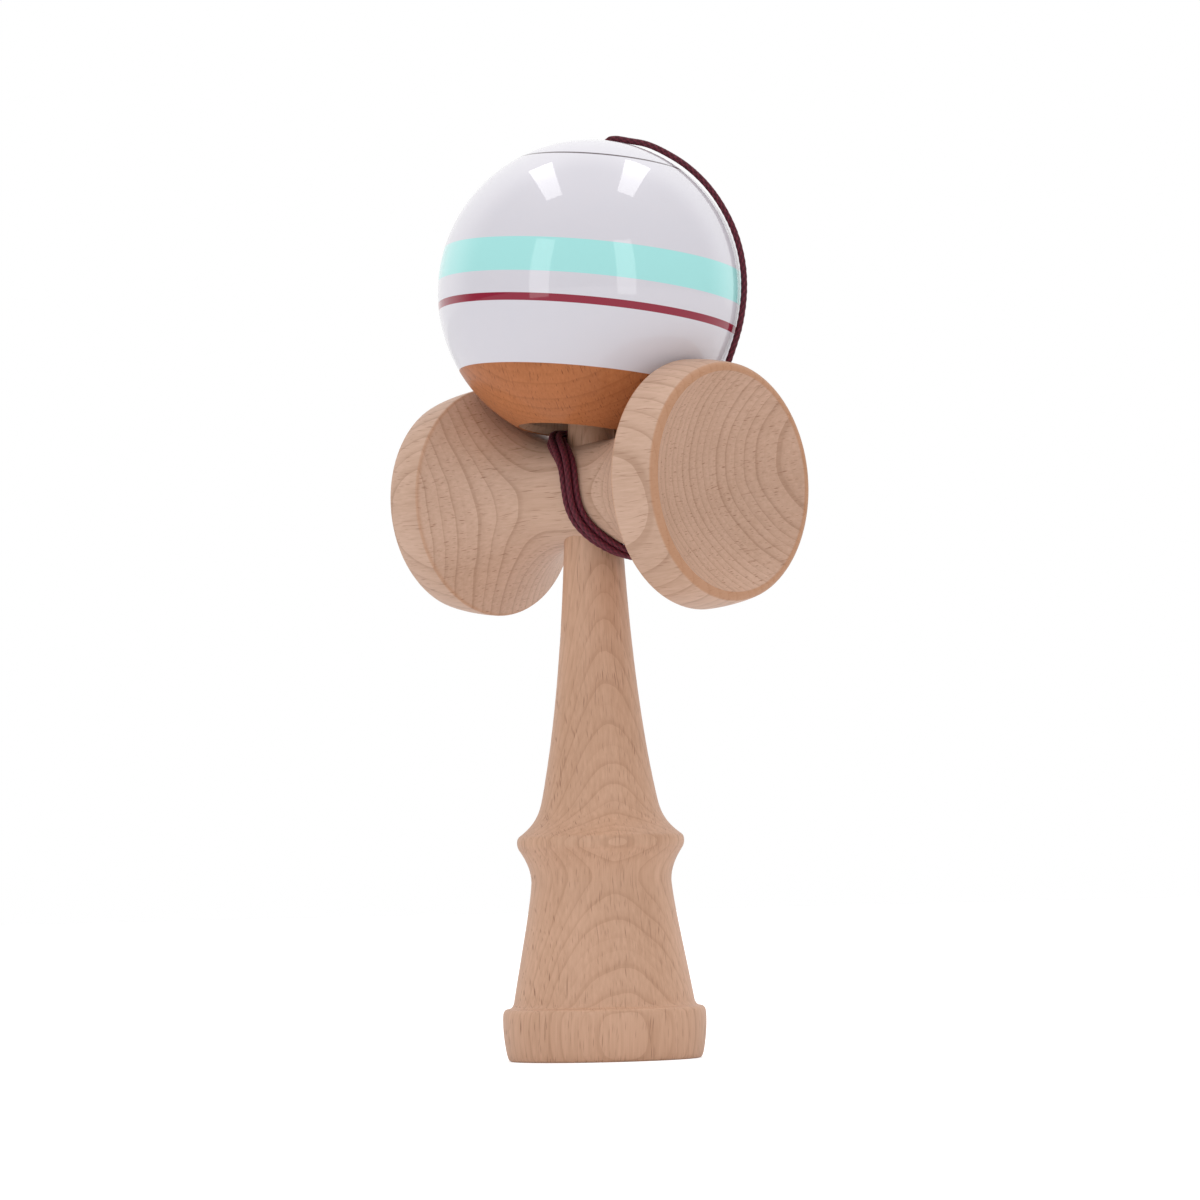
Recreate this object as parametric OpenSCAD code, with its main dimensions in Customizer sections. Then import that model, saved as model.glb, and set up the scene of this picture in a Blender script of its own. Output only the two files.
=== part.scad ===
// Kendama: a turned handle with a spike and a base cup, a turned cross piece with two cups,
// a lacquered ball on the spike, and a string that ties the ball to the handle.
// Millimetres, +Z up. The origin is the centre of the base rim. The cross piece lies along X,
// with the big cup on +X.

/* [Handle] */
// Length of the spike, from the cross piece's centre line to its tip
spike_length = 46.2; // [44.5:0.1:47.5]
// Radius of the base band at its widest
base_r = 19.8; // [19:0.1:21]
// Height of the base band
base_band_h = 10.2; // [9:0.1:11.5]
// Radius of the body where it rises from the base band
body_r = 17.5; // [16.5:0.1:18]
// Radius of the waist under the ring
waist_r = 13.65; // [11.5:0.05:14.5]
// Height of the waist
waist_z = 34.6; // [33:0.1:36]
// Radius of the ring
ring_r = 16.4; // [15:0.1:19]
// Height of the ring's edge
ring_z = 42.3; // [40.5:0.1:44]
// Radius of the grip above the ring
grip_r = 11.3; // [10:0.1:12.5]
// Radius of the neck, just under the cross piece
neck_r = 6.0; // [5.6:0.05:6.6]
// Radius at the foot of the spike, just above the cross piece
spike_r = 4.6; // [4:0.05:5.2]
// Radius near the point of the spike
spike_tip_r = 2.2; // [1.5:0.1:2.8]

/* [Cups] */
// Height of the cross piece's centre line above the base rim
cross_z = 110.3; // [109:0.1:111]
// Radius of the cross piece's barrel
barrel_r = 10.2; // [9:0.1:11]
// Half-length of the plain barrel, before the flares begin
barrel_half = 5; // [3:0.5:7]
// Radius of the big cup at its sharp edge
big_edge_r = 24.1; // [22:0.1:27]
// Radius of the big cup's rim
big_rim_r = 22.9; // [20:0.1:25]
// Radius of the small cup at its sharp edge
small_edge_r = 22.6; // [20:0.1:26]
// Radius of the small cup's rim
small_rim_r = 21; // [19:0.1:24]
// Distance from the handle's axis to the big cup's rim
big_reach = 36.7; // [35:0.1:42]
// Distance from the handle's axis to the small cup's rim
small_reach = 35.5; // [34:0.1:41]
// Width of the crowned band between a cup's edge and its rim
cup_band = 9.5; // [8:0.1:10]
// Width of each cup's lip
lip = 1.6; // [1.2:0.1:2.4]
// Radius of the hollow in the two side cups
side_hollow_r = 26; // [25:0.5:30]
// Radius of the hollow in the base cup
base_hollow_r = 22; // [20:0.5:26]

/* [Ball] */
// Radius of the ball
ball_r = 30; // [25:0.5:31]
// Clearance between the ball and the cups' flares, on which it sits
ball_gap = 0.13; // [0.1:0.01:0.5]
// Sideways shift of the ball on the spike, towards the big cup
ball_x = 0.4; // [0:0.1:0.4]
// Sideways shift of the ball on the spike, towards the back
ball_y = 0.5; // [0:0.1:1]
// Lean of the ball on the spike, in degrees
ball_lean = 7; // [0:0.1:8]
// Direction in which the ball leans, in degrees from the big cup towards the back
ball_lean_to = 63; // [30:1:90]
// Radius of the ball's spike hole
hole_r = 10.5; // [9.5:0.1:11.5]
// Bevel at the mouth of the spike hole
hole_bevel = 1.3; // [0.5:0.1:2]
// Room between the spike's tip and the bead above it
tip_room = 3.5; // [1.5:0.1:5]

/* [String and bead] */
// Diameter of the string
string_d = 1.3; // [1.2:0.1:1.6]
// Clearance of the string in its holes, on the diameter
string_play = 0.6; // [0.4:0.1:1]
// Diameter of the knots
knot_d = 4.2; // [3.6:0.1:4.4]
// Diameter of the bead
bead_d = 8.6; // [7:0.1:10]
// Height of the bead
bead_h = 6.4; // [5:0.1:7]

/* [Hidden] */
$fn = 96;

string_r = string_d / 2;
string_hole_r = (string_d + string_play) / 2;
hole_flare = 1.5;
knot_seat_r = knot_d / 2 + 0.2;
knot_h = 3;
ken_knot_y = 2;
band_crown = 0.25;
edge_chamfer = 0.1;
bead_gap = 0.3;
beech = [0.80, 0.66, 0.53];
maroon = [0.35, 0.14, 0.20];

// ---- curves
function lerp(a, b, t) = a + (b - a) * t;
function sum(v) = v * [for (i = v) 1];
function ease(t) = let (c = min(1, max(0, t))) c * c * (3 - 2 * c);
function bezier(p, n, from = 0) =
    [for (i = [from:n]) let (t = i / n, s = 1 - t)
        s * s * s * p[0] + 3 * s * s * t * p[1] + 3 * s * t * t * p[2] + t * t * t * p[3]];
function arc_points(c, r, a0, a1, n) =
    [for (i = [0:n]) let (a = lerp(a0, a1, i / n)) c + r * [cos(a), sin(a)]];

// ---- handle
base_mouth_r = base_r - 2.8;
base_foot_r = base_r - 1.5;
base_top_r = base_r - 0.4;
base_hollow_z = -sqrt(pow(base_hollow_r, 2) - pow(base_mouth_r, 2));
ken_length = cross_z + spike_length;
neck_z = cross_z - barrel_r - 4;
spike_z = cross_z + barrel_r + 1;
grip_z = ring_z + 8.1;

hollow_half_angle = asin(base_mouth_r / base_hollow_r);
ken_outline = concat(
    // hollow of the base cup
    arc_points([0, base_hollow_z], base_hollow_r, 90, 90 - hollow_half_angle, 16),
    // rim and crowned band
    [[base_foot_r, 0]],
    bezier([[base_foot_r, 0], [base_foot_r + 0.5, 0], [base_r - 0.75, 0.7],
            [base_r - 0.55, 1.8]], 6, 1),
    bezier([[base_r - 0.55, 1.8], [base_r - 0.2, 3.8], [base_r, 5.6],
            [base_r, base_band_h - 2.4]], 6, 1),
    bezier([[base_r, base_band_h - 2.4], [base_r, base_band_h - 0.9],
            [base_r - 0.1, base_band_h - 0.1], [base_top_r - 0.7, base_band_h]], 8, 1),
    // fillet into the body
    bezier([[base_top_r - 0.7, base_band_h], [body_r + 0.7, base_band_h],
            [body_r + 0.15, base_band_h + 0.4], [body_r, base_band_h + 1.6]], 8, 1),
    // body, waist and ring
    bezier([[body_r, base_band_h + 1.6], [body_r - 1.5, base_band_h + 10.2],
            [waist_r + 0.35, waist_z - 5], [waist_r, waist_z]], 14, 1),
    bezier([[waist_r, waist_z], [waist_r, waist_z + 2.7], [ring_r - 1.5, ring_z - 2.9],
            [ring_r - 0.45, ring_z - 1.3]], 10, 1),
    bezier([[ring_r - 0.45, ring_z - 1.3], [ring_r - 0.1, ring_z - 0.8],
            [ring_r + 0.15, ring_z + 0.6], [ring_r - 0.5, ring_z + 1.2]], 8, 1),
    bezier([[ring_r - 0.5, ring_z + 1.2], [ring_r - 2.9, ring_z + 3],
            [grip_r + 0.7, ring_z + 4.7], [grip_r, grip_z]], 12, 1),
    // grip and neck
    bezier([[grip_r, grip_z], [grip_r - 2.3, grip_z + 11],
            [neck_r + 1.1, neck_z - 20], [neck_r, neck_z]], 18, 1),
    // taper through the cross piece, then the spike
    [[spike_r, spike_z]],
    bezier([[spike_r, spike_z], [spike_r - 0.6, spike_z + 12],
            [spike_tip_r + 0.5, ken_length - 12], [spike_tip_r, ken_length - 3]], 10, 1),
    bezier([[spike_tip_r, ken_length - 3], [spike_tip_r - 0.3, ken_length - 1],
            [spike_tip_r / 2, ken_length], [0, ken_length]], 8, 1)
);

module ken() {
    color(beech) difference() {
        rotate_extrude() polygon(ken_outline);
        // hole for the string, and the seat of its knot
        translate([0, 0, cross_z]) rotate([90, 0, 0]) {
            cylinder(r = string_hole_r, h = 4 * neck_r, center = true);
            translate([0, 0, ken_knot_y]) cylinder(r = knot_seat_r, h = 2 * neck_r);
        }
    }
}

// ---- cross piece
flare_power = 2.03;
function flare_r(x, reach, edge_r) =
    let (edge_x = reach - cup_band, t = (x - barrel_half) / (edge_x - barrel_half))
    x <= barrel_half ? barrel_r : barrel_r + (edge_r - barrel_r) * pow(t, flare_power);
function barrel_at(x) = x >= 0 ? flare_r(x, big_reach, big_edge_r)
                               : flare_r(-x, small_reach, small_edge_r);

// Half of the cross piece's outline, from the rim's hollow back to the barrel, as [radius, x]
function cup_outline(reach, edge_r, rim_r) =
    let (edge_x = reach - cup_band, mouth_r = rim_r - lip,
         hollow_x = reach + sqrt(pow(side_hollow_r, 2) - pow(mouth_r, 2)),
         half_angle = asin(mouth_r / side_hollow_r))
    concat(
        arc_points([0, hollow_x], side_hollow_r, -90, -90 + half_angle, 18),
        bezier([[mouth_r, reach], [mouth_r + 0.3, reach + 0.05], [rim_r - 0.5, reach + 0.05],
                [rim_r, reach - 0.8]], 8, 1),
        bezier([[rim_r, reach - 0.8], [lerp(rim_r, edge_r, 0.3) + band_crown, reach - 3],
                [lerp(rim_r, edge_r, 0.7) + band_crown, edge_x + 3], [edge_r, edge_x + 0.3]], 8, 1),
        [[edge_r - edge_chamfer, edge_x]],
        [for (i = [1:16]) let (x = lerp(edge_x, barrel_half, i / 16))
            [flare_r(x, reach, edge_r) - edge_chamfer * (1 - i / 16), x]]
    );

function flip(p) = [for (i = [len(p) - 1:-1:0]) [p[i][0], -p[i][1]]];

module sarado() {
    outline = concat(cup_outline(big_reach, big_edge_r, big_rim_r),
                     flip(cup_outline(small_reach, small_edge_r, small_rim_r)));
    color(beech) difference() {
        translate([0, 0, cross_z]) rotate([0, 90, 0]) rotate_extrude() polygon(outline);
        // tapered seat of the handle
        translate([0, 0, neck_z])
            cylinder(r1 = neck_r, r2 = spike_r, h = spike_z - neck_z);
        // hole for the string, at the back
        translate([0, 0, cross_z]) rotate([-90, 0, 0]) {
            cylinder(r = string_hole_r, h = 2 * barrel_r);
            translate([0, 0, barrel_r - 0.5])
                cylinder(r1 = string_hole_r, r2 = string_hole_r + hole_flare, h = hole_flare);
        }
    }
}

// ---- ball
mouth_r = hole_r + hole_bevel;
mouth_z = -sqrt(pow(ball_r, 2) - pow(mouth_r, 2));
mouth_x = ball_x + mouth_z * sin(ball_lean) * cos(ball_lean_to);

// Height of the ball's centre above the cross line if it sat on the flare at x
function perch(x) =
    barrel_at(x) + sqrt(max(0, pow(ball_r + ball_gap, 2) - pow(x - ball_x, 2)));
ball_z = cross_z + max([for (i = [0:40])
    each [perch(lerp(mouth_x + mouth_r, big_reach - cup_band, i / 40)),
          perch(lerp(mouth_x - mouth_r, cup_band - small_reach, i / 40))]]);
hole_end = ken_length + tip_room + bead_h + bead_gap - ball_z;

module on_ball_axis() {
    translate([ball_x, ball_y, ball_z]) rotate([0, 0, ball_lean_to])
        rotate([0, ball_lean, 0]) children();
}

module tama() {
    color("white") on_ball_axis() difference() {
        sphere(r = ball_r);
        // spike hole, its bevel and its mouth
        rotate_extrude() polygon([[0, -ball_r - 1], [mouth_r, -ball_r - 1], [mouth_r, mouth_z],
            [hole_r, mouth_z + hole_bevel], [hole_r, hole_end], [0, hole_end]]);
        cylinder(r = string_hole_r, h = ball_r + 1);
        translate([0, 0, ball_r - hole_flare])
            cylinder(r1 = string_hole_r, r2 = string_hole_r + hole_flare, h = hole_flare);
    }
}

// ---- bead and knots
bead_top = hole_end - bead_gap;
bead_seat = 2.6;
bead_bulge = 1.2;

module bead() {
    color("tan") on_ball_axis() translate([0, 0, bead_top - bead_h]) difference() {
        rotate_extrude() polygon(concat(
            [[0, 0]],
            [for (i = [0:10]) let (a = lerp(-60, 60, i / 10))
                [bead_d / 2 - bead_bulge * (1 - cos(a)), bead_h / 2 * (1 + sin(a) / sin(60))]],
            [[0, bead_h]]));
        translate([0, 0, -1]) cylinder(r = string_hole_r, h = bead_h + 2);
        translate([0, 0, -1]) cylinder(r = knot_seat_r, h = bead_seat + 1);
    }
}

module knot(h) {
    rotate_extrude() intersection() {
        translate([0, h / 2]) circle(r = knot_d / 2);
        square([knot_d, h]);
    }
}

module ken_knot() {
    color(maroon) translate([0, -ken_knot_y, cross_z]) rotate([90, 0, 0]) knot(knot_h);
}
module bead_knot() {
    color(maroon) on_ball_axis() translate([0, 0, bead_top - bead_h + bead_seat - knot_h])
        knot(knot_h);
}

// ---- string
// A tube with eight sides along a path; ref is a direction that the path never takes
function unit(v) = v / norm(v);
function tangent(p, i) = unit(p[min(i + 1, len(p) - 1)] - p[max(i - 1, 0)]);
function ring(p, i, r, ref) =
    let (t = tangent(p, i), n = unit(ref - (ref * t) * t), b = cross(t, n))
    [for (k = [0:7]) p[i] + r * (cos(45 * k) * n + sin(45 * k) * b)];
module tube(p, r, ref) {
    last = len(p) - 1;
    polyhedron(
        points = [for (i = [0:last]) each ring(p, i, r, ref)],
        faces = concat(
            [[for (k = [7:-1:0]) k]],
            [for (i = [0:last - 1], k = [0:7])
                [8 * i + k, 8 * i + (k + 1) % 8, 8 * i + 8 + (k + 1) % 8, 8 * i + 8 + k]],
            [[for (k = [0:7]) 8 * last + k]]),
        convexity = 12);
}
function spline(p, n) = concat([for (i = [0:len(p) - 2], k = [0:n - 1])
    let (t = k / n, a = p[max(i - 1, 0)], b = p[i], c = p[i + 1], d = p[min(i + 2, len(p) - 1)])
    0.5 * (2 * b + (c - a) * t + (2 * a - 5 * b + 4 * c - d) * t * t
           + (3 * b - a - 3 * c + d) * t * t * t)], [p[len(p) - 1]]);

// The turns round the barrel: three side by side, then two more in the grooves between them.
// Each turn passes the spike on the -X side and the neck on the +X side. At the back, in
// the last part of a turn, the string first moves to the next lane, then climbs.
lanes = [1, 0, -1, -0.5, 0.5];
lane_w = string_d + 0.06;
layer_h = lane_w * 0.9;
hump = 0.15;
shift_from = 0.82;
climb_from = 0.91;
wrap_mid = (neck_r - spike_r) / 2 + 0.6;
// the sideways swing of a turn, as waves: [amplitude, waves per turn, phase]
wrap_waves = [[(neck_r + spike_r) / 2 + 1.5 * string_d - 0.05, 1, 22.5], [0.4, 2, -61], [1.9, 3, -10]];
steps_per_turn = 22;
last_turn = 4.73;
function lane_at(k, f) =
    let (shift = ease((f - shift_from) / (climb_from - shift_from)),
         climb = ease((f - climb_from) / (1 - climb_from)))
    k < 2 ? lerp(lanes[k], lanes[k + 1], shift)
    : k == 2 ? lerp(lerp(lanes[2], lanes[2] - 1.3, shift), lanes[3], climb)
    : k == 3 ? lerp(lanes[3], lanes[4], shift)
    : lanes[4];
function layer_at(k, f) =
    k < 2 ? 0
    : k == 2 ? 1.1 * ease(1.6 * (f - climb_from) / (1 - climb_from))
    : k == 3 ? 1 + hump * ease((f - shift_from) / 0.04)
    : 1 + hump * (1 - ease(f / 0.1));
function wrap_x(phi) = wrap_mid
    + sum([for (w = wrap_waves) -w[0] * cos(w[1] * phi + w[2])]);
function wrap_slope(phi) =
    sum([for (w = wrap_waves) w[0] * w[1] * sin(w[1] * phi + w[2])]) / (barrel_r + string_r);
function wrap_point(n) =
    let (k = floor(n), f = n - k, phi = 270 + 360 * n,
         x_lane = wrap_x(phi) + lane_w * sqrt(1 + pow(wrap_slope(phi), 2)) * lane_at(k, f),
         x = n < 0.1 ? lerp(0, x_lane, ease(n / 0.1)) : x_lane,
         rho = barrel_at(x) + string_r + 0.1 + layer_h * layer_at(k, f))
    [x, -rho * sin(phi), cross_z + rho * cos(phi)];

// The way out of the handle, and the tail that leaves the last turn for the ball
string_root = [[0, -2, 110.3], [0, 2, 110.3], [0, 6, 110.3], [0, 9, 110.3], [-0.1, 10.4, 110.7]];
string_tail = [[9.9, 1.8, 97.4], [9.8, 5.5, 98.5], [9.7, 8.8, 100.9], [9.6, 11, 103.9],
    [9.4, 12.1, 107.7], [9.6, 12.8, 111.5], [10.6, 13.3, 115.4], [12.4, 13.6, 119.6]];
string_over = [[12.8, 13.6, 120], [16.4, 13.6, 124], [20.3, 13.4, 128.4], [23.4, 13.1, 132.6],
    [25.8, 13.3, 137.3], [27.2, 14.1, 142.4], [28, 14.5, 148.2], [27.7, 14.6, 154.1],
    [26.4, 14.1, 159.9], [24.1, 13.2, 165.2], [21.3, 11.9, 169.7], [17.8, 10.4, 173.5],
    [14.1, 8.8, 176.3], [10.4, 7.1, 178.4], [6.8, 5.6, 179.4], [4.1, 4.4, 180],
    [2.6, 3.9, 179.6], [2.1, 3.6, 178.2], [1.6, 2.9, 171.5], [1.3, 2.4, 166.6], [1.1, 1.9, 162.6]];

module string_wraps() {
    steps = floor(steps_per_turn * last_turn);
    wound = [for (i = [1:steps]) wrap_point(i / steps_per_turn)];
    color(maroon) tube(concat(string_root, wound, string_tail), string_r, [1, 0, 0]);
}
module string_run() {
    color(maroon) tube(spline(string_over, 2), string_r, [-0.5, 0.86, 0]);
}

ken();
sarado();
tama();
string_wraps();
string_run();
ken_knot();
bead();
bead_knot();
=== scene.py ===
from math import cos, floor, pi, radians, sin, sqrt

import bpy
from mathutils import Matrix, Vector


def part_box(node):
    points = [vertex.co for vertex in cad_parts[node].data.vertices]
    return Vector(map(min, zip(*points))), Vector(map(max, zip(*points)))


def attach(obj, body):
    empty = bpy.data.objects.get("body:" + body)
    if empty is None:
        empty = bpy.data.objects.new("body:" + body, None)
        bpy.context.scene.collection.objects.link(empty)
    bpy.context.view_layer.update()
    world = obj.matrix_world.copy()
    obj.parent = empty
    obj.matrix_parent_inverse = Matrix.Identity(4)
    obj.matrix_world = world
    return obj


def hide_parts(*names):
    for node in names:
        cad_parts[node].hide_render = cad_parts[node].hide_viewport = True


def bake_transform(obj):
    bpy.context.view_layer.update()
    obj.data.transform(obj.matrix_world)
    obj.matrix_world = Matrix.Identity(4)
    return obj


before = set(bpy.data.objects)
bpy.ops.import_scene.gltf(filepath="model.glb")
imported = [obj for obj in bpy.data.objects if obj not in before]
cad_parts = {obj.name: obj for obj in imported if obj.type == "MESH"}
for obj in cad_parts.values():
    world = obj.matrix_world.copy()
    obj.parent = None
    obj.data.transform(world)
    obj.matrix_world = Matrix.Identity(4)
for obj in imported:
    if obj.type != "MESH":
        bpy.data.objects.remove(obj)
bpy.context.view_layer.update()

# Kendama: turned beech handle and cross piece, lacquered ball, braided string, bead and knots.
# Metres. The origin is the centre of the base rim, +Z runs up the handle, +X to the big cup.

mm = 0.001
scene = bpy.context.scene
print("frame loaded:", sorted(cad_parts))


# ---------- node helpers

def addNode(tree, kind, values=None, **settings):
    node = tree.nodes.new(kind)
    for name, value in settings.items():
        setattr(node, name, value)
    for key, value in (values or {}).items():
        feed(tree, node.inputs[key], value)
    return node


def feed(tree, socket, value):
    if isinstance(value, bpy.types.NodeSocket):
        tree.links.new(value, socket)
    else:
        socket.default_value = value


def calc(tree, operation, *values, clamp=False):
    node = addNode(tree, "ShaderNodeMath", dict(enumerate(values)), operation=operation)
    node.use_clamp = clamp
    return node.outputs[0]


def rampUp(tree, value, low, high, toLow=0.0, toHigh=1.0):
    node = addNode(tree, "ShaderNodeMapRange",
                   {"Value": value, "From Min": low, "From Max": high,
                    "To Min": toLow, "To Max": toHigh}, interpolation_type="SMOOTHSTEP")
    return node.outputs["Result"]


def mixColor(tree, factor, first, second, blend="MIX"):
    node = addNode(tree, "ShaderNodeMix", data_type="RGBA", blend_type=blend)
    feed(tree, node.inputs["Factor"], factor)
    feed(tree, node.inputs[6], first)
    feed(tree, node.inputs[7], second)
    return node.outputs[2]


def stretch(tree, vector, scale):
    node = addNode(tree, "ShaderNodeVectorMath", {0: vector, 1: scale}, operation="MULTIPLY")
    return node.outputs[0]


def lengthOf(tree, first, second):
    squares = calc(tree, "ADD", calc(tree, "MULTIPLY", first, first),
                   calc(tree, "MULTIPLY", second, second))
    return calc(tree, "SQRT", squares)


def noise(tree, vector, detail, scale=1.0, roughness=0.5):
    node = addNode(tree, "ShaderNodeTexNoise", {"Vector": vector, "Scale": scale,
                                                "Detail": detail, "Roughness": roughness})
    return node.outputs[0]


def bumpOf(tree, shader, height, strength, depth):
    node = addNode(tree, "ShaderNodeBump",
                   {"Strength": strength, "Distance": depth, "Height": height})
    feed(tree, shader.inputs["Normal"], node.outputs[0])


def newGroup(name, inputs, outputs):
    group = bpy.data.node_groups.new(name, "ShaderNodeTree")
    for label, kind, value in inputs:
        socket = group.interface.new_socket(name=label, in_out="INPUT", socket_type=kind)
        if value is not None:
            socket.default_value = value
    for label, kind in outputs:
        group.interface.new_socket(name=label, in_out="OUTPUT", socket_type=kind)
    return group, group.nodes.new("NodeGroupInput"), group.nodes.new("NodeGroupOutput")


def placeGroup(tree, group, values):
    node = tree.nodes.new("ShaderNodeGroup")
    node.node_tree = group
    for key, value in values.items():
        feed(tree, node.inputs[key], value)
    return node


def newMaterial(name):
    material = bpy.data.materials.new(name)
    material.use_nodes = True
    tree = material.node_tree
    shader = tree.nodes["Principled BSDF"]
    place = addNode(tree, "ShaderNodeTexCoord").outputs["Object"]
    return material, tree, shader, place


def setConstants(shader, values):
    for key, value in values.items():
        shader.inputs[key].default_value = value


# ---------- beech: growth rings round a far-off pith, ray flecks and fine fibres
# The group's own Z runs along the grain, and the pith lies on its -X side. Each size counts
# cells per metre across the rings, along them and along the grain.

grainShape = {
    "waver": {"size": (60, 60, 14), "detail": 2.0, "reach": 0.0024},
    "slant": {"size": (90, 90, 70), "detail": 1.0, "reach": 0.0022},
    "fibres": {"size": (1500, 1900, 75), "detail": 3.0, "roughness": 0.6},
    "patches": {"size": (75, 75, 22), "detail": 2.0},
    "ringUnevenness": 0.75,
    # the shares of a ring over which its band and its edge line darken, and their weights
    "lateBand": (-0.15, 0.6), "lateLine": (0.33, 0.5), "bandWeight": 0.5, "lineWeight": 0.5,
    "fibreTone": 0.44, "patchTone": 0.34, "baseTone": 0.61,
    # red and blue follow the tone by a factor and an offset
    "redTone": (0.8, 0.2), "blueTone": (1.25, -0.25),
    "fibreHeight": 0.35, "fibreShine": 0.1, "lateShine": -0.06,
}
fleckKinds = [
    {"size": (480, 2500, 120), "near": 0.06, "far": 0.27, "leftOut": 0.28, "weight": 1.0},
    {"size": (900, 3600, 260), "near": 0.10, "far": 0.34, "leftOut": 0.20, "weight": 0.65},
    {"size": (170, 2600, 65), "near": 0.06, "far": 0.27, "leftOut": 0.35, "weight": 0.7},
]


def grainNoise(tree, vector, shape):
    return noise(tree, stretch(tree, vector, shape["size"]), shape["detail"],
                 roughness=shape.get("roughness", 0.5))


def grainShift(tree, vector, shape):
    centred = calc(tree, "SUBTRACT", grainNoise(tree, vector, shape), 0.5)
    return calc(tree, "MULTIPLY", centred, shape["reach"])


def makeBeechGroup():
    group, given, result = newGroup(
        "beechGrain",
        [("Vector", "NodeSocketVector", None),
         ("Pith Distance", "NodeSocketFloat", 0.04),
         ("Ring Width", "NodeSocketFloat", 0.0022),
         ("Early Wood", "NodeSocketColor", (0.6, 0.4, 0.27, 1)),
         ("Late Wood", "NodeSocketColor", (0.5, 0.3, 0.19, 1)),
         ("Fleck", "NodeSocketColor", (0.35, 0.2, 0.12, 1)),
         ("Ring Strength", "NodeSocketFloat", 0.6),
         ("Fleck Strength", "NodeSocketFloat", 0.7)],
        [("Color", "NodeSocketColor"), ("Height", "NodeSocketFloat"),
         ("Shine", "NodeSocketFloat")])
    t, g, shape = group, given.outputs, grainShape
    split = addNode(t, "ShaderNodeSeparateXYZ", {0: g["Vector"]}).outputs
    fromPith = calc(t, "ADD", calc(t, "ADD", split["X"], g["Pith Distance"]),
                    grainShift(t, g["Vector"], shape["waver"]))
    depth = lengthOf(t, fromPith, split["Y"])
    # rings of uneven width: each darkens slowly, then ends in a sharp edge
    rings = addNode(t, "ShaderNodeTexVoronoi",
                    {"W": depth, "Randomness": shape["ringUnevenness"]},
                    voronoi_dimensions="1D")
    feed(t, rings.inputs["Scale"], calc(t, "DIVIDE", 1.0, g["Ring Width"]))
    within = calc(t, "DIVIDE", calc(t, "SUBTRACT", depth, rings.outputs["W"]), g["Ring Width"])
    late = calc(t, "ADD",
                calc(t, "MULTIPLY", rampUp(t, within, *shape["lateBand"]), shape["bandWeight"]),
                calc(t, "MULTIPLY", rampUp(t, within, *shape["lateLine"]), shape["lineWeight"]))
    late = calc(t, "MULTIPLY", late, g["Ring Strength"], clamp=True)
    # ray flecks: thin lens-shaped cells, some of them left out
    slant = grainShift(t, g["Vector"], shape["slant"])
    moved = addNode(t, "ShaderNodeCombineXYZ",
                    {"X": split["X"], "Y": calc(t, "ADD", split["Y"], slant), "Z": split["Z"]})
    flecks = 0.0
    for fleck in fleckKinds:
        cells = addNode(t, "ShaderNodeTexVoronoi",
                        {"Vector": stretch(t, moved.outputs[0], fleck["size"]), "Scale": 1.0})
        kind = addNode(t, "ShaderNodeSeparateColor", {0: cells.outputs["Color"]}).outputs[0]
        body = rampUp(t, cells.outputs["Distance"], fleck["near"], fleck["far"],
                      fleck["weight"], 0.0)
        flecks = calc(t, "MULTIPLY_ADD", body, rampUp(t, kind, fleck["leftOut"], 1.0), flecks)
    flecks = calc(t, "MULTIPLY", flecks, g["Fleck Strength"], clamp=True)
    # fine fibres and slow changes of tone
    fibres = grainNoise(t, g["Vector"], shape["fibres"])
    patches = grainNoise(t, g["Vector"], shape["patches"])
    tone = calc(t, "ADD", calc(t, "MULTIPLY", fibres, shape["fibreTone"]),
                calc(t, "MULTIPLY", patches, shape["patchTone"]))
    tone = calc(t, "ADD", tone, shape["baseTone"])
    color = mixColor(t, late, g["Early Wood"], g["Late Wood"])
    color = mixColor(t, flecks, color, g["Fleck"])
    # the darker fibres are also the redder ones
    toneColor = addNode(t, "ShaderNodeCombineXYZ",
                        {"X": calc(t, "MULTIPLY_ADD", tone, *shape["redTone"]), "Y": tone,
                         "Z": calc(t, "MULTIPLY_ADD", tone, *shape["blueTone"])}).outputs[0]
    color = mixColor(t, 1.0, color, toneColor, blend="MULTIPLY")
    height = calc(t, "SUBTRACT", calc(t, "MULTIPLY", fibres, shape["fibreHeight"]), flecks)
    shine = calc(t, "ADD", calc(t, "MULTIPLY", fibres, shape["fibreShine"]),
                 calc(t, "MULTIPLY", late, shape["lateShine"]))
    for label, value in (("Color", color), ("Height", height), ("Shine", shine)):
        t.links.new(value, result.inputs[label])
    return group


beechLook = {
    "fleck": (0.32, 0.155, 0.088, 1), "burnish": (0.48, 0.215, 0.095, 1),
    "burnishWeight": 0.7, "roughness": 0.45, "specular": 0.4,
    "bump": 0.35, "bumpDepth": 0.00006,
}
beechGrain = makeBeechGroup()


def beechValues(vector, wood):
    return {"Vector": vector, "Pith Distance": wood["pithDistance"],
            "Ring Width": wood["ringWidth"], "Early Wood": wood["earlyWood"],
            "Late Wood": wood["lateWood"], "Fleck": wood.get("fleck", beechLook["fleck"]),
            "Ring Strength": wood["ringStrength"], "Fleck Strength": wood["fleckStrength"]}


def finishWood(tree, shader, grain, color):
    feed(tree, shader.inputs["Base Color"], color)
    feed(tree, shader.inputs["Roughness"],
         calc(tree, "ADD", grain.outputs["Shine"], beechLook["roughness"]))
    bumpOf(tree, shader, grain.outputs["Height"], beechLook["bump"], beechLook["bumpDepth"])
    setConstants(shader, {"Specular IOR Level": beechLook["specular"]})


# the handle's blank: its grain runs up, and its rings show as arches on the right-hand front
handleWood = {"turn": (radians(-3.3), radians(-5), radians(33)), "pithDistance": 0.045,
              "ringWidth": 0.00105, "ringStrength": 0.36, "fleckStrength": 1.0,
              "earlyWood": (0.60, 0.355, 0.232, 1), "lateWood": (0.42, 0.22, 0.125, 1)}


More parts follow.
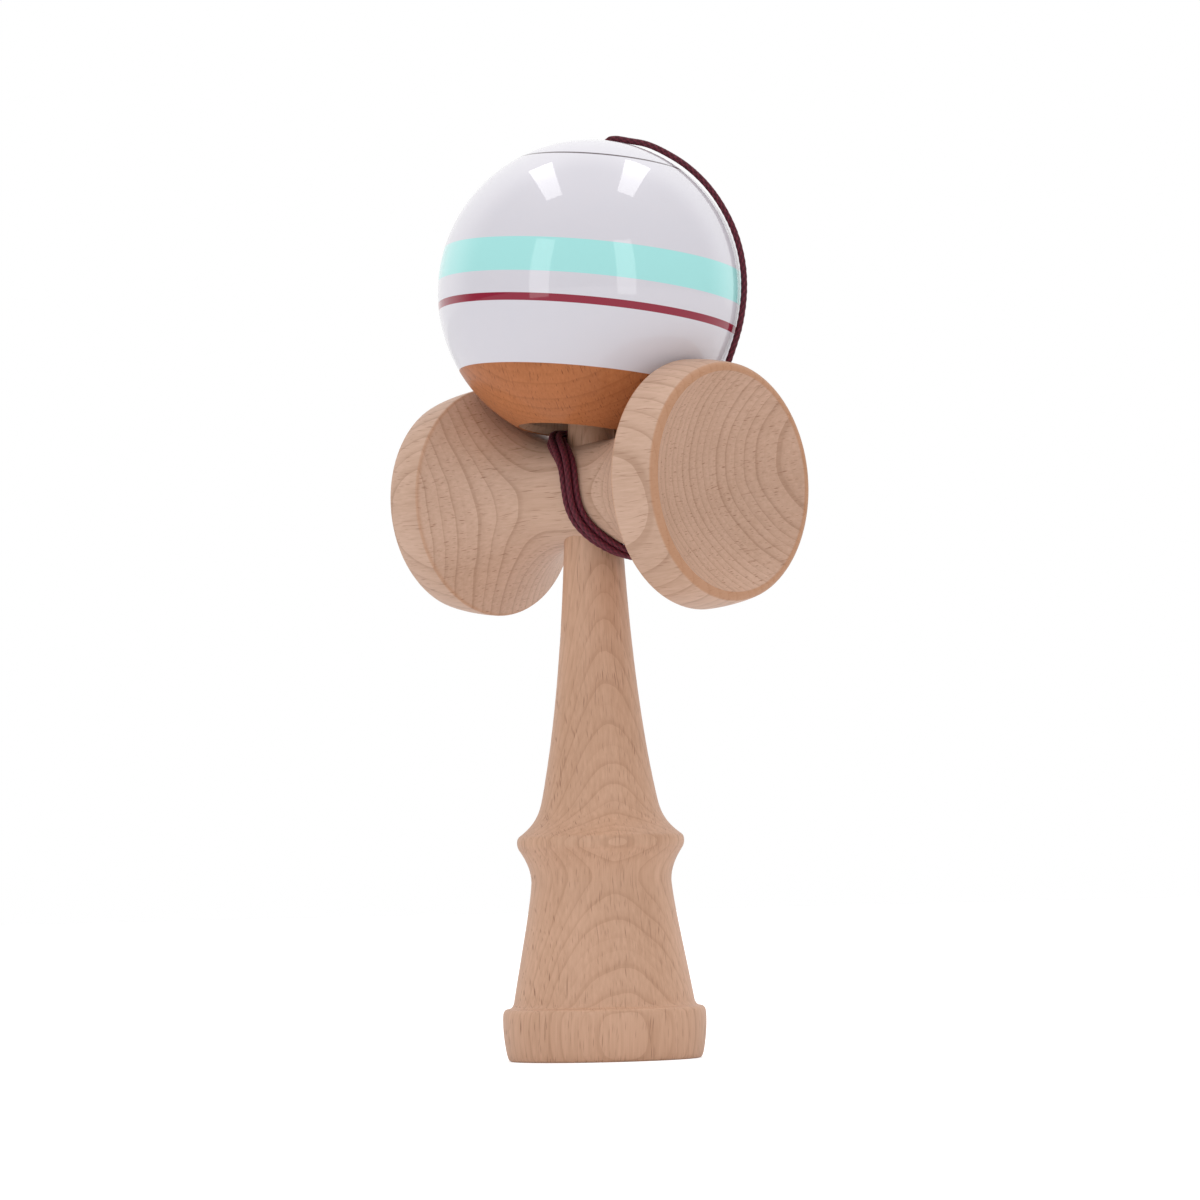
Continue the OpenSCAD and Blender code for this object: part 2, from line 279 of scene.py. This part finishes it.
def makeHandleMaterial():
    material, tree, shader, place = newMaterial("beechHandle")
    turned = addNode(tree, "ShaderNodeMapping", {"Vector": place, "Rotation": handleWood["turn"]})
    grain = placeGroup(tree, beechGrain, beechValues(turned.outputs[0], handleWood))
    finishWood(tree, shader, grain, grain.outputs["Color"])
    return material


# the cross piece's own sizes in millimetres, which its burnished edges and the string follow
cross = {"height": 110.3, "barrel": 10.2, "barrelHalf": 5, "band": 9.5, "lip": 1.6,
         "flarePower": 2.03, "bigEdge": 24.1, "bigRim": 22.9, "bigReach": 36.7,
         "smallEdge": 22.6, "smallRim": 21, "smallReach": 35.5}
# its blank: the grain runs along X, with the pith behind
crossWood = {"turn": (0, radians(-90), radians(78)), "pithDistance": 0.052,
             "ringWidth": 0.0018, "ringStrength": 0.58, "fleckStrength": 1.0,
             "earlyWood": (0.61, 0.395, 0.285, 1), "lateWood": (0.41, 0.235, 0.15, 1)}
# burnished marks, in millimetres: how far from the cup's end, from the lip's inner edge, from
# the band's sharp edge and from the rim's radius each one fades
burnished = {"fromEnd": (-1.0, -0.5), "fromLip": (-0.25, 0.05), "fromEdge": (0.05, 0.55),
             "edgeWeight": 0.5, "fromRim": (-0.5, 0.5)}


def fade(tree, value, place, span, *weights):
    low, high = span
    return rampUp(tree, value, place + low * mm, place + high * mm, *weights)


def makeCrossMaterial():
    material, tree, shader, place = newMaterial("beechCross")
    low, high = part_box("sarado")
    centred = addNode(tree, "ShaderNodeVectorMath",
                      {0: place, 1: (0, 0, cross["height"] * mm)}, operation="SUBTRACT")
    turned = addNode(tree, "ShaderNodeMapping",
                     {"Vector": centred.outputs[0], "Rotation": crossWood["turn"]})
    grain = placeGroup(tree, beechGrain, beechValues(turned.outputs[0], crossWood))
    # burnished lip of each cup and the sharp edge behind it
    parts = addNode(tree, "ShaderNodeSeparateXYZ", {0: centred.outputs[0]}).outputs
    radius = lengthOf(tree, parts["Y"], parts["Z"])
    sides = []
    for sign, reach, rim in ((1.0, high[0], cross["bigRim"] * mm),
                             (-1.0, -low[0], cross["smallRim"] * mm)):
        outward = calc(tree, "MULTIPLY", parts["X"], sign)
        lip = calc(tree, "MULTIPLY", fade(tree, outward, reach, burnished["fromEnd"]),
                   fade(tree, radius, rim - cross["lip"] * mm, burnished["fromLip"]))
        fromEdge = calc(tree, "ABSOLUTE", calc(tree, "SUBTRACT", outward,
                                               reach - cross["band"] * mm))
        edge = calc(tree, "MULTIPLY",
                    fade(tree, fromEdge, 0.0, burnished["fromEdge"],
                         burnished["edgeWeight"], 0.0),
                    fade(tree, radius, rim, burnished["fromRim"]))
        sides.append(calc(tree, "MAXIMUM", lip, edge))
    marks = calc(tree, "MULTIPLY", calc(tree, "MAXIMUM", *sides), beechLook["burnishWeight"])
    finishWood(tree, shader, grain,
               mixColor(tree, marks, grain.outputs["Color"], beechLook["burnish"]))
    return material


# ---------- ball: white lacquer with a mint band and a maroon line, clear tan cap, bare bore

ball = {
    "centre": Vector((0.4, 0.5, 149.7)) * mm,
    "axis": Vector((0.0553281, 0.1085875, 0.9925462)),
    "radius": 30 * mm,
    # heights along the ball's axis, from its centre
    "capEdge": -17.7 * mm,
    "bands": [(-0.8 * mm, 5.85 * mm, (0.42, 0.83, 0.81, 1)),
              (-6.5 * mm, -5.05 * mm, (0.29, 0.006, 0.032, 1)),
              (24.45 * mm, 24.8 * mm, (0.06, 0.03, 0.045, 1))],
    "paintEdge": 0.04 * mm,
    # how far under the surface the finish gives way to bare wood
    "skinFrom": 0.35 * mm, "skinTo": 0.2 * mm,
    "grainTurn": (radians(5), radians(-3), radians(70)),
    "white": (0.72, 0.70, 0.755, 1), "cloudColor": (0.8, 0.74, 0.76, 1),
    "cloudScale": 260.0, "cloudDetail": 3.0, "cloudSpan": (0.35, 0.7), "cloudWeight": 0.06,
    "capGloss": 0.12, "bareRoughness": 0.5, "finishRoughness": 0.36,
    "paintHeight": 0.8, "cloudHeight": 0.12, "bump": 0.25, "bumpDepth": 0.00008,
    "surface": {"Specular IOR Level": 0.1, "Coat Roughness": 0.03, "Coat IOR": 1.5},
}
capWood = {"pithDistance": 0.05, "ringWidth": 0.0016, "ringStrength": 0.3,
           "fleckStrength": 1.0, "earlyWood": (0.48, 0.172, 0.066, 1),
           "lateWood": (0.30, 0.10, 0.035, 1), "fleck": (0.16, 0.05, 0.02, 1)}
boreWood = {"pithDistance": 0.05, "ringWidth": 0.0018, "ringStrength": 0.5,
            "fleckStrength": 0.6, "earlyWood": (0.6, 0.39, 0.27, 1),
            "lateWood": (0.44, 0.25, 0.155, 1)}


def between(tree, value, low, high, soft):
    return calc(tree, "MULTIPLY", rampUp(tree, value, low - soft, low + soft),
                rampUp(tree, value, high - soft, high + soft, 1.0, 0.0))


def makeBallMaterial():
    material, tree, shader, place = newMaterial("lacqueredBall")
    local = addNode(tree, "ShaderNodeVectorMath", {0: place, 1: ball["centre"]},
                    operation="SUBTRACT").outputs[0]
    height = addNode(tree, "ShaderNodeVectorMath", {0: local, 1: ball["axis"]},
                     operation="DOT_PRODUCT").outputs["Value"]
    fromCentre = addNode(tree, "ShaderNodeVectorMath", {0: local},
                         operation="LENGTH").outputs["Value"]
    outside = rampUp(tree, fromCentre, ball["radius"] - ball["skinFrom"],
                     ball["radius"] - ball["skinTo"])
    turned = addNode(tree, "ShaderNodeMapping",
                     {"Vector": local, "Rotation": ball["grainTurn"]})
    cap = placeGroup(tree, beechGrain, beechValues(turned.outputs[0], capWood))
    bare = placeGroup(tree, beechGrain, beechValues(turned.outputs[0], boreWood))
    # lacquer: a faint unevenness under the gloss
    cloud = noise(tree, local, ball["cloudDetail"], scale=ball["cloudScale"])
    color = mixColor(tree, rampUp(tree, cloud, *ball["cloudSpan"], 0.0, ball["cloudWeight"]),
                     ball["white"], ball["cloudColor"])
    for low, high, paint in ball["bands"]:
        color = mixColor(tree, between(tree, height, low, high, ball["paintEdge"]), color, paint)
    painted = rampUp(tree, height, ball["capEdge"] - ball["paintEdge"],
                     ball["capEdge"] + ball["paintEdge"])
    color = mixColor(tree, painted, cap.outputs["Color"], color)
    color = mixColor(tree, outside, bare.outputs["Color"], color)
    feed(tree, shader.inputs["Base Color"], color)
    feed(tree, shader.inputs["Coat Weight"],
         calc(tree, "MULTIPLY", outside, rampUp(tree, painted, 0.0, 1.0, ball["capGloss"], 1.0)))
    feed(tree, shader.inputs["Roughness"],
         rampUp(tree, outside, 0.0, 1.0, ball["bareRoughness"], ball["finishRoughness"]))
    # the lacquer's edge stands a hair proud of the clear cap
    skin = calc(tree, "ADD", calc(tree, "MULTIPLY", painted, ball["paintHeight"]),
                calc(tree, "MULTIPLY", cloud, ball["cloudHeight"]))
    bumpOf(tree, shader, skin, ball["bump"], ball["bumpDepth"])
    setConstants(shader, ball["surface"])
    return material


# ---------- string, bead and knots

# dark and light: painted shade in the braid's crevices against lighter strand tops, mixed with a
# random fibre tone
stringLook = {
    "dark": (0.04, 0.006, 0.011, 1), "light": (0.2, 0.024, 0.045, 1),
    "fuzzScale": 5200.0, "fuzzDetail": 2.0, "creviceShadeSpan": (0.1, 0.95),
    "creviceShadeWeight": 0.72, "fuzzWeight": 0.32, "roughness": 0.45, "fuzzRoughness": 0.2,
    "bump": 0.5, "bumpDepth": 0.00005,
    "surface": {"Sheen Weight": 0.12, "Sheen Roughness": 0.4, "Sheen Tint": (0.8, 0.3, 0.4, 1),
                "Specular IOR Level": 0.25},
}


def makeStringMaterial():
    material, tree, shader, place = newMaterial("maroonString")
    weave = addNode(tree, "ShaderNodeAttribute", attribute_name="braid").outputs["Fac"]
    fuzz = noise(tree, place, stringLook["fuzzDetail"], scale=stringLook["fuzzScale"])
    # painted shade: the braid's crevices take the dark colour and the strand tops the light one;
    # the fuzz adds a random fibre tone on top
    shadeAndFuzz = calc(tree, "ADD",
                rampUp(tree, weave, *stringLook["creviceShadeSpan"], 0.0, stringLook["creviceShadeWeight"]),
                calc(tree, "MULTIPLY", fuzz, stringLook["fuzzWeight"]), clamp=True)
    feed(tree, shader.inputs["Base Color"],
         mixColor(tree, shadeAndFuzz, stringLook["dark"], stringLook["light"]))
    feed(tree, shader.inputs["Roughness"],
         calc(tree, "ADD", calc(tree, "MULTIPLY", fuzz, stringLook["fuzzRoughness"]),
              stringLook["roughness"]))
    bumpOf(tree, shader, fuzz, stringLook["bump"], stringLook["bumpDepth"])
    setConstants(shader, stringLook["surface"])
    return material


beadWood = {"pithDistance": 0.02, "ringWidth": 0.0012, "ringStrength": 0.6,
            "fleckStrength": 0.5, "earlyWood": (0.6, 0.39, 0.27, 1),
            "lateWood": (0.44, 0.25, 0.155, 1)}


def makeBeadMaterial():
    material, tree, shader, place = newMaterial("beadWood")
    grain = placeGroup(tree, beechGrain, beechValues(place, beadWood))
    finishWood(tree, shader, grain, grain.outputs["Color"])
    return material


print("materials")
materials = {"ken": makeHandleMaterial(), "sarado": makeCrossMaterial(),
             "tama": makeBallMaterial(), "bead": makeBeadMaterial()}
stringMaterial = makeStringMaterial()
for name, material in materials.items():
    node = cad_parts[name]
    node.data.materials.clear()
    node.data.materials.append(material)

# ---------- the string's path

# Millimetres. A turn's lane is its place across the bundle, counted in cord widths; hump and
# climb count layers, and where they and the shift start or end is a share of the turn.
cordSize = {"diameter": 1.3, "laneGap": 0.06, "layerShare": 0.9, "clearance": 0.1,
            "woundParts": 6, "runParts": 8}
winding = {"lanes": [1, 0, -1, -0.5, 0.5], "overstep": 1.3, "hump": 0.15, "humpRise": 0.04,
           "humpFall": 0.1, "shiftFrom": 0.82, "climbFrom": 0.91, "climb": 1.1,
           "climbSpeed": 1.6, "spreadBy": 0.1, "startAngle": 270, "middle": 1.3,
           "waves": [(7.2, 1, 22.5), (0.4, 2, -61), (1.9, 3, -10)],
           "steps": 22, "turns": 4.73}
cordRadius = cordSize["diameter"] / 2
laneWidth = cordSize["diameter"] + cordSize["laneGap"]
layerHeight = laneWidth * cordSize["layerShare"]

rootPoints = [(0, -2, 110.3), (0, 2, 110.3), (0, 6, 110.3), (0, 9, 110.3), (-0.1, 10.4, 110.7)]
tailPoints = [(9.9, 1.8, 97.4), (9.8, 5.5, 98.5), (9.7, 8.8, 100.9), (9.6, 11, 103.9),
              (9.4, 12.1, 107.7), (9.6, 12.8, 111.5), (10.6, 13.3, 115.4), (12.4, 13.6, 119.6)]
overPoints = [(12.4, 13.6, 119.6), (16.4, 13.6, 124), (20.3, 13.4, 128.4), (23.4, 13.1, 132.6),
              (25.8, 13.3, 137.3), (27.2, 14.1, 142.4), (28, 14.5, 148.2), (27.7, 14.6, 154.1),
              (26.4, 14.1, 159.9), (24.1, 13.2, 165.2), (21.3, 11.9, 169.7), (17.8, 10.4, 173.5),
              (14.1, 8.8, 176.3), (10.4, 7.1, 178.4), (6.8, 5.6, 179.4), (4.1, 4.4, 180),
              (2.6, 3.9, 179.6), (2.1, 3.6, 178.2), (1.6, 2.9, 171.5), (1.3, 2.4, 166.6),
              (1.1, 1.9, 162.6)]


def lerp(a, b, t):
    return a + (b - a) * t


def ease(t):
    t = min(1, max(0, t))
    return t * t * (3 - 2 * t)


def crossRadius(x):
    edge, reach = ((cross["bigEdge"], cross["bigReach"]) if x >= 0
                   else (cross["smallEdge"], cross["smallReach"]))
    along = (abs(x) - cross["barrelHalf"]) / (reach - cross["band"] - cross["barrelHalf"])
    return cross["barrel"] + (edge - cross["barrel"]) * max(0, along) ** cross["flarePower"]


def laneAt(turn, part):
    lanes = winding["lanes"]
    shift = ease((part - winding["shiftFrom"]) / (winding["climbFrom"] - winding["shiftFrom"]))
    climb = ease((part - winding["climbFrom"]) / (1 - winding["climbFrom"]))
    if turn == 2:
        return lerp(lerp(lanes[2], lanes[2] - winding["overstep"], shift), lanes[3], climb)
    if turn < 4:
        return lerp(lanes[turn], lanes[turn + 1], shift)
    return lanes[4]


def layerAt(turn, part):
    if turn < 2:
        return 0
    if turn == 2:
        risen = (part - winding["climbFrom"]) / (1 - winding["climbFrom"])
        return winding["climb"] * ease(winding["climbSpeed"] * risen)
    if turn == 3:
        return 1 + winding["hump"] * ease((part - winding["shiftFrom"]) / winding["humpRise"])
    return 1 + winding["hump"] * (1 - ease(part / winding["humpFall"]))


def windingPoint(n):
    turn = floor(n)
    phi = radians(winding["startAngle"] + 360 * n)
    x, slope = winding["middle"], 0
    for reach, count, phase in winding["waves"]:
        angle = count * phi + radians(phase)
        x -= reach * cos(angle)
        slope += reach * count * sin(angle) / (cross["barrel"] + cordRadius)
    x += laneWidth * sqrt(1 + slope * slope) * laneAt(turn, n - turn)
    x *= ease(n / winding["spreadBy"])
    rho = (crossRadius(x) + cordRadius + cordSize["clearance"]
           + layerHeight * layerAt(turn, n - turn))
    return (x, -rho * sin(phi), cross["height"] + rho * cos(phi))


# a Catmull-Rom curve through the points, cut in equal parts between each two
def splinePoints(points, parts):
    dense = []
    for i in range(len(points) - 1):
        a, b, c, d = (Vector(points[min(max(i + k, 0), len(points) - 1)]) for k in (-1, 0, 1, 2))
        for k in range(parts):
            t = k / parts
            dense.append(0.5 * (2 * b + (c - a) * t + (2 * a - 5 * b + 4 * c - d) * t * t
                                + (3 * b - a - 3 * c + d) * t * t * t))
    return dense + [Vector(points[-1])]


# ---------- braided cord: Geometry Nodes sweep a braided section along a curve

def makeCordTree():
    tree = bpy.data.node_groups.new("braidedCord", "GeometryNodeTree")
    tree.is_modifier = True
    face = tree.interface
    face.new_socket(name="Geometry", in_out="INPUT", socket_type="NodeSocketGeometry")
    for label, kind, value in (("Radius", "NodeSocketFloat", 0.00065),
                               ("Sides", "NodeSocketInt", 16),
                               ("Step", "NodeSocketFloat", 0.0003),
                               ("Strands", "NodeSocketFloat", 4.0),
                               ("Braid Length", "NodeSocketFloat", 0.0015),
                               ("Braid Depth", "NodeSocketFloat", 0.00007),
                               ("Material", "NodeSocketMaterial", None)):
        socket = face.new_socket(name=label, in_out="INPUT", socket_type=kind)
        if value is not None:
            socket.default_value = value
    face.new_socket(name="Geometry", in_out="OUTPUT", socket_type="NodeSocketGeometry")
    given = tree.nodes.new("NodeGroupInput").outputs
    result = tree.nodes.new("NodeGroupOutput")
    path = addNode(tree, "GeometryNodeResampleCurve", {"Curve": given[0]}, mode="LENGTH")
    feed(tree, path.inputs["Length"], given["Step"])
    alongPath = addNode(tree, "GeometryNodeSplineParameter").outputs["Length"]
    path = addNode(tree, "GeometryNodeStoreNamedAttribute",
                   {"Geometry": path.outputs[0], "Name": "along", "Value": alongPath},
                   data_type="FLOAT", domain="POINT")
    section = addNode(tree, "GeometryNodeCurvePrimitiveCircle",
                      {"Resolution": given["Sides"], "Radius": given["Radius"]})
    around = calc(tree, "DIVIDE", addNode(tree, "GeometryNodeInputIndex").outputs[0],
                  given["Sides"])
    section = addNode(tree, "GeometryNodeStoreNamedAttribute",
                      {"Geometry": section.outputs[0], "Name": "around", "Value": around},
                      data_type="FLOAT", domain="POINT")
    tube = addNode(tree, "GeometryNodeCurveToMesh",
                   {"Curve": path.outputs[0], "Profile Curve": section.outputs[0],
                    "Fill Caps": True})
    readAlong, readAround = (
        addNode(tree, "GeometryNodeInputNamedAttribute", {"Name": name},
                data_type="FLOAT").outputs["Attribute"] for name in ("along", "around"))
    # two families of strands cross each other, over and under in turn
    strand = calc(tree, "MULTIPLY", readAround, given["Strands"])
    run = calc(tree, "DIVIDE", readAlong, given["Braid Length"])
    right = calc(tree, "MULTIPLY", calc(tree, "ADD", strand, run), pi)
    left = calc(tree, "MULTIPLY", calc(tree, "SUBTRACT", strand, run), pi)
    cosRight, cosLeft = calc(tree, "COSINE", right), calc(tree, "COSINE", left)
    over = calc(tree, "MULTIPLY_ADD", calc(tree, "MULTIPLY", cosRight, cosLeft), 0.5, 0.5)
    under = calc(tree, "SUBTRACT", 1.0, over)
    bulge = calc(tree, "MAXIMUM",
                 calc(tree, "MULTIPLY", calc(tree, "MULTIPLY", cosRight, cosRight), over),
                 calc(tree, "MULTIPLY", calc(tree, "MULTIPLY", cosLeft, cosLeft), under))
    tube = addNode(tree, "GeometryNodeStoreNamedAttribute",
                   {"Geometry": tube.outputs[0], "Name": "braid", "Value": bulge},
                   data_type="FLOAT", domain="POINT")
    sink = calc(tree, "MULTIPLY", calc(tree, "SUBTRACT", bulge, 1.0), given["Braid Depth"])
    offset = addNode(tree, "ShaderNodeVectorMath", operation="SCALE")
    tree.links.new(addNode(tree, "GeometryNodeInputNormal").outputs[0], offset.inputs[0])
    tree.links.new(sink, offset.inputs["Scale"])
    shaped = addNode(tree, "GeometryNodeSetPosition",
                     {"Geometry": tube.outputs[0], "Offset": offset.outputs[0]})
    smooth = addNode(tree, "GeometryNodeSetShadeSmooth", {"Geometry": shaped.outputs[0]})
    plain = addNode(tree, "GeometryNodeRealizeInstances", {"Geometry": smooth.outputs[0]})
    done = addNode(tree, "GeometryNodeSetMaterial",
                   {"Geometry": plain.outputs[0], "Material": given["Material"]})
    tree.links.new(done.outputs[0], result.inputs[0])
    return tree


cordTree = makeCordTree()


def makeCord(name, points, values):
    curve = bpy.data.curves.new(name + "Path", "CURVE")
    curve.dimensions = "3D"
    spline = curve.splines.new("POLY")
    spline.points.add(len(points) - 1)
    for target, point in zip(spline.points, points):
        target.co = (*(Vector(point) * mm), 1)
    holder = bpy.data.objects.new(name + "Path", curve)
    scene.collection.objects.link(holder)
    modifier = holder.modifiers.new("braid", "NODES")
    modifier.node_group = cordTree
    sockets = {item.name: item.identifier for item in cordTree.interface.items_tree
               if item.item_type == "SOCKET" and item.in_out == "INPUT"}
    for label, value in values.items():
        modifier[sockets[label]] = value
    modifier[sockets["Material"]] = stringMaterial
    bpy.context.view_layer.update()
    shape = holder.evaluated_get(bpy.context.evaluated_depsgraph_get())
    mesh = bpy.data.meshes.new_from_object(shape)
    holder.modifiers.remove(modifier)
    bpy.data.objects.remove(holder)
    bpy.data.curves.remove(curve)
    piece = bpy.data.objects.new(name, mesh)
    scene.collection.objects.link(piece)
    print(name, len(mesh.polygons), "faces")
    return piece


print("string")
stepsInAll = floor(winding["steps"] * winding["turns"])
woundPoints = [windingPoint(i / winding["steps"]) for i in range(1, stepsInAll + 1)]
wraps = makeCord("stringWraps", splinePoints(rootPoints + woundPoints + tailPoints,
                                             cordSize["woundParts"]),
                 {"Radius": cordRadius * mm})
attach(wraps, "handle")
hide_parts("string_wraps")

run = makeCord("stringRun", splinePoints(overPoints, cordSize["runParts"]),
               {"Radius": cordRadius * mm})
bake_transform(run)
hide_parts("string_run")


# ---------- overhand knots, pulled tight

knotLook = {"width": 4.2, "height": 3.0, "cord": 1.2, "steps": 90, "sweepStep": 0.00025}


def knotPoints(middle, axis):
    # a trefoil, whose lobes reach three scales from its middle
    scale = (knotLook["width"] - knotLook["cord"]) / 6
    rise = (knotLook["height"] - knotLook["cord"]) / 2
    turn = Vector((0, 0, 1)).rotation_difference(axis)
    points = []
    for i in range(knotLook["steps"] + 1):
        t = 2 * pi * i / knotLook["steps"]
        loop = Vector((scale * (sin(t) + 2 * sin(2 * t)), scale * (cos(t) - 2 * cos(2 * t)),
                       -rise * sin(3 * t)))
        points.append(turn @ loop + Vector(middle))
    return points


def makeKnot(name, nodeName, body, axis):
    low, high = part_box(nodeName)
    middle = (Vector(low) + Vector(high)) / 2 / mm
    knot = makeCord(name, knotPoints(middle, Vector(axis)),
                    {"Radius": knotLook["cord"] / 2 * mm, "Step": knotLook["sweepStep"]})
    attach(knot, body)
    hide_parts(nodeName)


makeKnot("handleKnot", "ken_knot", "handle", (0, -1, 0))
makeKnot("beadKnot", "bead_knot", "string_end", ball["axis"])
print("knots")

# ---------- stage, lights and camera

stage = {"floorRadius": 6.0, "floorSides": 96, "white": (0.86, 0.86, 0.87, 1),
         "floorGlow": 0.42, "roomLight": 0.92, "roomGloss": 0.18,
         "backdrop": Vector((-0.683, 0.730, 0.03)), "backdropSpan": (0.1, 0.6)}


def makeFloor():
    mesh = bpy.data.meshes.new("floor")
    count, radius = stage["floorSides"], stage["floorRadius"]
    rim = [(radius * cos(2 * pi * i / count), radius * sin(2 * pi * i / count), 0)
           for i in range(count)]
    mesh.from_pydata(rim, [], [list(range(count))])
    floor = bpy.data.objects.new("floor", mesh)
    scene.collection.objects.link(floor)
    material, tree, shader = newMaterial("paleFloor")[:3]
    # the glow only keeps the floor white to its far edge, it lights nothing
    seen = addNode(tree, "ShaderNodeLightPath").outputs["Is Camera Ray"]
    feed(tree, shader.inputs["Emission Strength"],
         calc(tree, "MULTIPLY", seen, stage["floorGlow"]))
    setConstants(shader, {"Base Color": stage["white"], "Roughness": 0.9,
                          "Specular IOR Level": 0.1, "Emission Color": (1, 1, 1, 1)})
    mesh.materials.append(material)


def makeWorld():
    world = bpy.data.worlds.new("studio")
    scene.world = world
    world.use_nodes = True
    tree = world.node_tree
    back = tree.nodes["Background"]
    back.inputs["Color"].default_value = (1, 1, 1, 1)
    # the room lights the object less than it shows behind it, and only the backdrop on the
    # far side is bright in its gloss
    path = addNode(tree, "ShaderNodeLightPath").outputs
    facing = addNode(tree, "ShaderNodeVectorMath",
                     {0: addNode(tree, "ShaderNodeTexCoord").outputs["Generated"],
                      1: stage["backdrop"]}, operation="DOT_PRODUCT").outputs["Value"]
    gloss = rampUp(tree, facing, *stage["backdropSpan"], stage["roomGloss"] - 1.0, 0.0)
    dimmed = calc(tree, "MULTIPLY_ADD", path["Is Glossy Ray"], gloss, 1.0)
    feed(tree, back.inputs["Strength"],
         calc(tree, "MULTIPLY_ADD", path["Is Diffuse Ray"], stage["roomLight"] - 1.0, dimmed))


# each box: direction from the ball in the view's own right, up and toward axes
softBoxes = {
    "boxLeft": {"toward": (-0.35, 0.90, -0.15), "size": (0.17, 0.75), "power": 1.5,
                "distance": 1.0},
    "boxRight": {"toward": (0.32, 0.91, -0.2), "size": (0.17, 0.75), "power": 1.5,
                 "distance": 1.0},
    "stripLeft": {"toward": (-0.615, 0.156, 0.771), "size": (0.32, 1.2), "power": 2.3,
                  "distance": 1.2, "glossOnly": True},
    "stripRight": {"toward": (0.443, 0.161, 0.882), "size": (0.30, 1.2), "power": 2.3,
                   "distance": 1.2, "glossOnly": True},
}
camera = {
    "place": (0.729804, -0.786207, 0.033721),
    "right": Vector((0.732506, 0.680351, -0.023625)),
    "up": Vector((0.052601, -0.021965, 0.998374)),
    "lens": 165, "sensor": 36, "clipEnd": 50,
}
frontal = 0.7  # how squarely a light must face the view for its long side to stand upright


def makeCamera():
    data = bpy.data.cameras.new("camera")
    data.lens = camera["lens"]
    data.sensor_width = camera["sensor"]
    data.clip_end = camera["clipEnd"]
    view = bpy.data.objects.new("camera", data)
    scene.collection.objects.link(view)
    back = camera["right"].cross(camera["up"]).normalized()
    turn = Matrix((camera["right"], camera["up"], back)).transposed().to_4x4()
    view.matrix_world = Matrix.Translation(camera["place"]) @ turn
    scene.camera = view
    return back


def makeLights(back):
    for name, box in softBoxes.items():
        side, rise, front = box["toward"]
        direction = (camera["right"] * side + camera["up"] * rise + back * front).normalized()
        light = bpy.data.lights.new(name, "AREA")
        light.shape = "RECTANGLE"
        light.size, light.size_y = box["size"]
        light.energy = box["power"]
        lamp = bpy.data.objects.new(name, light)
        scene.collection.objects.link(lamp)
        lamp.visible_diffuse = not box.get("glossOnly", False)
        place = ball["centre"] + direction * box["distance"]
        # an overhead box's long side runs toward the camera, a strip's stands upright
        along = camera["up"] if abs(back.dot(direction)) > frontal else back
        long = (along - direction * along.dot(direction)).normalized()
        wide = long.cross(direction).normalized()
        turn = Matrix((wide, long, direction)).transposed().to_4x4()
        lamp.matrix_world = Matrix.Translation(place) @ turn


makeFloor()
makeWorld()
makeLights(makeCamera())
scene.view_settings.view_transform = "Standard"
print("stage, camera and lights")
